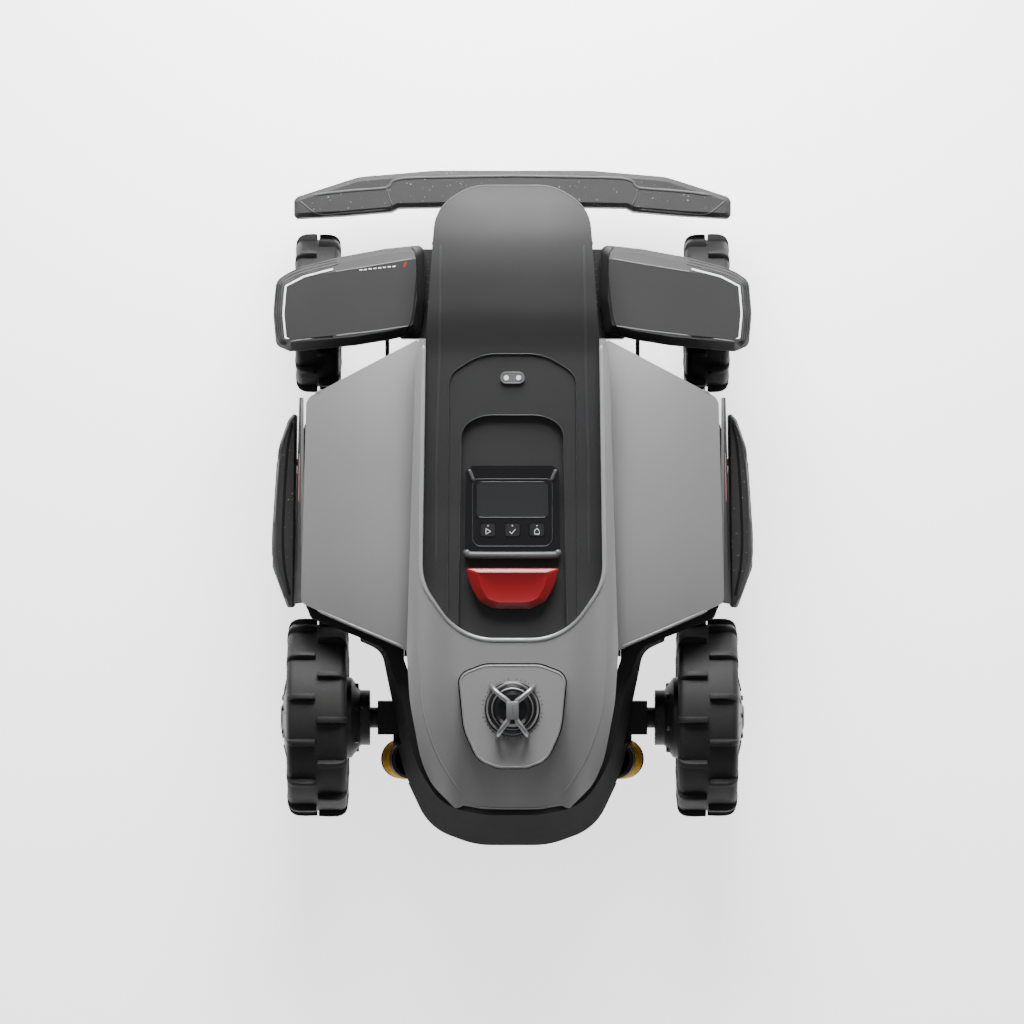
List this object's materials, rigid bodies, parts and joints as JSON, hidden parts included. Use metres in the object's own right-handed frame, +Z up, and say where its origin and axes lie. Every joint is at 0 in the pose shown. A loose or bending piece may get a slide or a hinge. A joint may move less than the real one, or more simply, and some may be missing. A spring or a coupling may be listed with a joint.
{
  "type": "robotic lawn mower",
  "caption": "Four-wheel-drive robotic lawn mower with steered front wheels, sprung rear arms, floating bumpers, console keys, a scanner turret and swinging-blade discs.",
  "frame": {"origin": "on the ground under the middle of the bounding box", "axes": "+Y forward, +X to the mower's own right, +Z up"},
  "size_m": [0.531, 0.746, 0.299],
  "materials": {
    "wing_grey": "satin light grey",
    "tail_grey": "satin light grey",
    "housing_dark": "fine textured dark grey",
    "spine_black": "satin black",
    "textured_black": "grained black",
    "gloss_black": "gloss black",
    "sensor_grey": "satin mid grey",
    "tray_black": "gloss black",
    "display_glass": "clear over dark display",
    "key_grey": "satin dark grey",
    "stop_red": "gloss red",
    "contact_metal": "bright",
    "steel": "brushed",
    "guard_metal": "metallic grey",
    "tyre_rubber": "matt",
    "rim_dark": "satin dark grey",
    "cast_dark": "dark coated",
    "lamp_white": "diffuse white",
    "spring_yellow": "gloss yellow",
    "board_green": "solder mask",
    "battery_blue": "wrapped cells",
    "bumper_grey": "grained dark grey"
  },
  "bodies": {
    "chassis": {"chassis_tub": "housing_dark", "lower_housing": "housing_dark", "tail_cover": "tail_grey", "wing_left": "wing_grey", "wing_right": "wing_grey", "spine_cover": "spine_black", "camera_window": "gloss_black", "control_tray": "tray_black", "display_window": "display_glass", "rain_sensor": "sensor_grey", "contacts": "contact_metal", "vent_fins": "textured_black", "scanner_platform": "tail_grey", "scanner_bezel": "gloss_black", "scanner_dome": "gloss_black", "scanner_guard": "guard_metal", "battery_pack": "battery_blue", "battery_door": "housing_dark", "main_board": "board_green", "cover_screws": "steel", "height_motor": "cast_dark", "spring_caps": "textured_black", "spring_left": "spring_yellow", "spring_right": "spring_yellow"},
    "key_play": {"key_play": "key_grey"},
    "key_ok": {"key_ok": "key_grey"},
    "key_home": {"key_home": "key_grey"},
    "stop": {"stop_button": "stop_red"},
    "scanner": {"scanner_rotor": "textured_black"},
    "front_bumper": {"front_bumper": "bumper_grey"},
    "side_bumper_left": {"side_bumper_left": "bumper_grey"},
    "side_bumper_right": {"side_bumper_right": "bumper_grey"},
    "deck": {"deck_plate": "cast_dark", "disc_motors": "cast_dark"},
    "height_screw": {"height_screw": "steel"},
    "disc_left": {"blade_disc_left": "textured_black"},
    "blade_left_1": {"blade_left_1": "steel"},
    "blade_left_2": {"blade_left_2": "steel"},
    "blade_left_3": {"blade_left_3": "steel"},
    "disc_right": {"blade_disc_right": "textured_black"},
    "blade_right_1": {"blade_right_1": "steel"},
    "blade_right_2": {"blade_right_2": "steel"},
    "blade_right_3": {"blade_right_3": "steel"},
    "front_axle": {"axle_beam": "cast_dark", "fender_left": "spine_black", "fender_right": "spine_black", "fender_lamps": "lamp_white", "steering_motors": "cast_dark"},
    "knuckle_left": {"knuckle_left": "cast_dark"},
    "front_wheel_left": {"front_tyre_left": "tyre_rubber", "front_rim_left": "rim_dark"},
    "knuckle_right": {"knuckle_right": "cast_dark"},
    "front_wheel_right": {"front_tyre_right": "tyre_rubber", "front_rim_right": "rim_dark"},
    "rear_arm_left": {"rear_arm_left": "cast_dark"},
    "rear_wheel_left": {"rear_tyre_left": "tyre_rubber", "rear_rim_left": "rim_dark"},
    "rear_arm_right": {"rear_arm_right": "cast_dark"},
    "rear_wheel_right": {"rear_tyre_right": "tyre_rubber", "rear_rim_right": "rim_dark"}
  },
  "joints": [
    {"name": "key_play_press", "type": "slide", "parent": "chassis", "child": "key_play", "axis": [0, 0, -1], "range_m": [0, 0.0012], "stiffness_N_per_m": 600, "springref_m": -0.001},
    {"name": "key_ok_press", "type": "slide", "parent": "chassis", "child": "key_ok", "axis": [0, 0, -1], "range_m": [0, 0.0012], "stiffness_N_per_m": 600, "springref_m": -0.001},
    {"name": "key_home_press", "type": "slide", "parent": "chassis", "child": "key_home", "axis": [0, 0, -1], "range_m": [0, 0.0012], "stiffness_N_per_m": 600, "springref_m": -0.001},
    {"name": "stop_press", "type": "slide", "parent": "chassis", "child": "stop", "axis": [0, 0, -1], "range_m": [0, 0.004], "stiffness_N_per_m": 1500, "springref_m": -0.0015},
    {"name": "scanner_spin", "type": "hinge", "parent": "chassis", "child": "scanner", "pos_m": [0, -0.22, 0.24], "axis": [0, 0, 1], "continuous": true},
    {"name": "front_bumper_press", "type": "slide", "parent": "chassis", "child": "front_bumper", "axis": [0, -1, 0], "range_m": [0, 0.006], "stiffness_N_per_m": 1500, "springref_m": -0.003},
    {"name": "side_bumper_left_press", "type": "slide", "parent": "chassis", "child": "side_bumper_left", "axis": [1, 0, 0], "range_m": [0, 0.004], "stiffness_N_per_m": 1500, "springref_m": -0.002},
    {"name": "side_bumper_right_press", "type": "slide", "parent": "chassis", "child": "side_bumper_right", "axis": [-1, 0, 0], "range_m": [0, 0.004], "stiffness_N_per_m": 1500, "springref_m": -0.002},
    {"name": "cut_height", "type": "slide", "parent": "chassis", "child": "deck", "axis": [0, 0, 1], "range_m": [-0.02, 0.04]},
    {"name": "height_screw_turn", "type": "hinge", "parent": "chassis", "child": "height_screw", "pos_m": [0, 0.072, 0.1], "axis": [0, 0, 1], "range_deg": [-361, 721]},
    {"name": "disc_left_spin", "type": "hinge", "parent": "deck", "child": "disc_left", "pos_m": [-0.112, -0.002, 0.05], "axis": [0, 0, 1], "continuous": true},
    {"name": "blade_left_1_swing", "type": "hinge", "parent": "disc_left", "child": "blade_left_1", "pos_m": [-0.112, 0.06, 0.049], "axis": [0, 0, 1], "continuous": true},
    {"name": "blade_left_2_swing", "type": "hinge", "parent": "disc_left", "child": "blade_left_2", "pos_m": [-0.16569, -0.033, 0.049], "axis": [0, 0, 1], "continuous": true},
    {"name": "blade_left_3_swing", "type": "hinge", "parent": "disc_left", "child": "blade_left_3", "pos_m": [-0.05831, -0.033, 0.049], "axis": [0, 0, 1], "continuous": true},
    {"name": "disc_right_spin", "type": "hinge", "parent": "deck", "child": "disc_right", "pos_m": [0.112, -0.002, 0.05], "axis": [0, 0, 1], "continuous": true},
    {"name": "blade_right_1_swing", "type": "hinge", "parent": "disc_right", "child": "blade_right_1", "pos_m": [0.112, 0.06, 0.049], "axis": [0, 0, 1], "continuous": true},
    {"name": "blade_right_2_swing", "type": "hinge", "parent": "disc_right", "child": "blade_right_2", "pos_m": [0.05831, -0.033, 0.049], "axis": [0, 0, 1], "continuous": true},
    {"name": "blade_right_3_swing", "type": "hinge", "parent": "disc_right", "child": "blade_right_3", "pos_m": [0.16569, -0.033, 0.049], "axis": [0, 0, 1], "continuous": true},
    {"name": "axle_rock", "type": "hinge", "parent": "chassis", "child": "front_axle", "pos_m": [0, 0.2155, 0.162], "axis": [0, 1, 0], "range_deg": [-4, 4]},
    {"name": "steer_left", "type": "hinge", "parent": "front_axle", "child": "knuckle_left", "pos_m": [-0.215, 0.2155, 0.18], "axis": [0, 0, 1], "range_deg": [-35, 35]},
    {"name": "front_wheel_left_spin", "type": "hinge", "parent": "knuckle_left", "child": "front_wheel_left", "pos_m": [-0.215, 0.2155, 0.0885], "axis": [1, 0, 0], "continuous": true},
    {"name": "steer_right", "type": "hinge", "parent": "front_axle", "child": "knuckle_right", "pos_m": [0.215, 0.2155, 0.18], "axis": [0, 0, 1], "range_deg": [-35, 35]},
    {"name": "front_wheel_right_spin", "type": "hinge", "parent": "knuckle_right", "child": "front_wheel_right", "pos_m": [0.215, 0.2155, 0.0885], "axis": [1, 0, 0], "continuous": true},
    {"name": "rear_arm_left_swing", "type": "hinge", "parent": "chassis", "child": "rear_arm_left", "pos_m": [-0.126, -0.1505, 0.112], "axis": [-1, 0, 0], "range_deg": [0, 5.6], "stiffness_Nm_per_rad": 60, "springref_deg": -6.88, "deforming": ["spring_left"]},
    {"name": "rear_wheel_left_spin", "type": "hinge", "parent": "rear_arm_left", "child": "rear_wheel_left", "pos_m": [-0.215, -0.2325, 0.11], "axis": [1, 0, 0], "continuous": true},
    {"name": "rear_arm_right_swing", "type": "hinge", "parent": "chassis", "child": "rear_arm_right", "pos_m": [0.126, -0.1505, 0.112], "axis": [-1, 0, 0], "range_deg": [0, 5.6], "stiffness_Nm_per_rad": 60, "springref_deg": -6.88, "deforming": ["spring_right"]},
    {"name": "rear_wheel_right_spin", "type": "hinge", "parent": "rear_arm_right", "child": "rear_wheel_right", "pos_m": [0.215, -0.2325, 0.11], "axis": [1, 0, 0], "continuous": true}
  ],
  "couplings": [
    {"joint": "height_screw_turn", "follows": "cut_height", "rad_per_m": 314.16}
  ]
}
